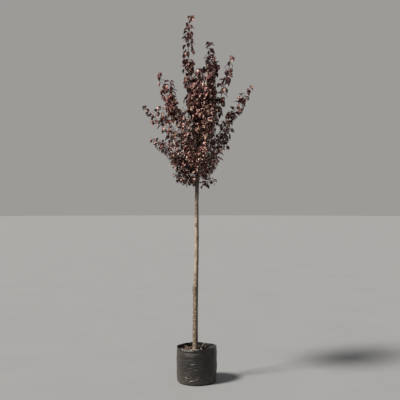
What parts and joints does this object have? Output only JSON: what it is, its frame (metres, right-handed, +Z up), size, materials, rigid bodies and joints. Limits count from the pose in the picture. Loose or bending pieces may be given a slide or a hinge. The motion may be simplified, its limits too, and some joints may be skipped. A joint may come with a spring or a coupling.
{
  "type": "nigra cherry plum tree in a nursery pot",
  "caption": "Young purple-leaved cherry plum grown as a slim standard tree: clear stem, upright airy head of dark red-purple leaves, soft black nursery pot of compost.",
  "frame": {"origin": "the middle of the pot's flat underside, at mount base", "axes": "+Z up along the trunk; the picture looks along +Y, with +X to its right"},
  "size_m": [0.8855, 0.6906, 2.9992],
  "materials": {
    "bark": "grey-brown bark with fine cross bands, matt",
    "young_bark": "smooth purple-brown young bark, satin",
    "leaves": "dark red-purple leaf, satin",
    "pot": "soft black plastic film, creased, satin",
    "compost": "moist bark compost, matt"
  },
  "bodies": {
    "root": {"bough_back_left": "young_bark", "bough_back_low": "young_bark", "bough_back_right": "young_bark", "bough_back_tall": "young_bark", "bough_front_left": "young_bark", "bough_front_low": "young_bark", "bough_front_right": "young_bark", "bough_front_tall": "young_bark", "bough_leader": "young_bark", "bough_left_far": "young_bark", "bough_left_inner": "young_bark", "bough_left_low": "young_bark", "bough_left_lowest": "young_bark", "bough_left_mid": "young_bark", "bough_left_tall": "young_bark", "bough_left_whip": "young_bark", "bough_right_long": "young_bark", "bough_right_low": "young_bark", "bough_right_lowest": "young_bark", "bough_right_tall": "young_bark", "bough_second_leader": "young_bark", "compost": "compost", "foliage_back_left": "leaves", "foliage_back_low": "leaves", "foliage_back_right": "leaves", "foliage_back_tall": "leaves", "foliage_front_left": "leaves", "foliage_front_low": "leaves", "foliage_front_right": "leaves", "foliage_front_tall": "leaves", "foliage_leader": "leaves", "foliage_left_far": "leaves", "foliage_left_inner": "leaves", "foliage_left_low": "leaves", "foliage_left_lowest": "leaves", "foliage_left_mid": "leaves", "foliage_left_tall": "leaves", "foliage_left_whip": "leaves", "foliage_right_long": "leaves", "foliage_right_low": "leaves", "foliage_right_lowest": "leaves", "foliage_right_tall": "leaves", "foliage_second_leader": "leaves", "foliage_skirt_back": "leaves", "foliage_skirt_front": "leaves", "foliage_skirt_left": "leaves", "foliage_skirt_right": "leaves", "foliage_spray_high_back": "leaves", "foliage_spray_high_front": "leaves", "foliage_spray_high_right": "leaves", "foliage_spray_low_back": "leaves", "foliage_spray_low_front": "leaves", "foliage_spray_low_left": "leaves", "foliage_spray_low_right": "leaves", "foliage_spray_mid_back": "leaves", "foliage_spray_mid_front": "leaves", "foliage_spray_mid_left": "leaves", "foliage_spray_mid_right": "leaves", "pot": "pot", "trunk": "bark"}
  },
  "joints": []
}
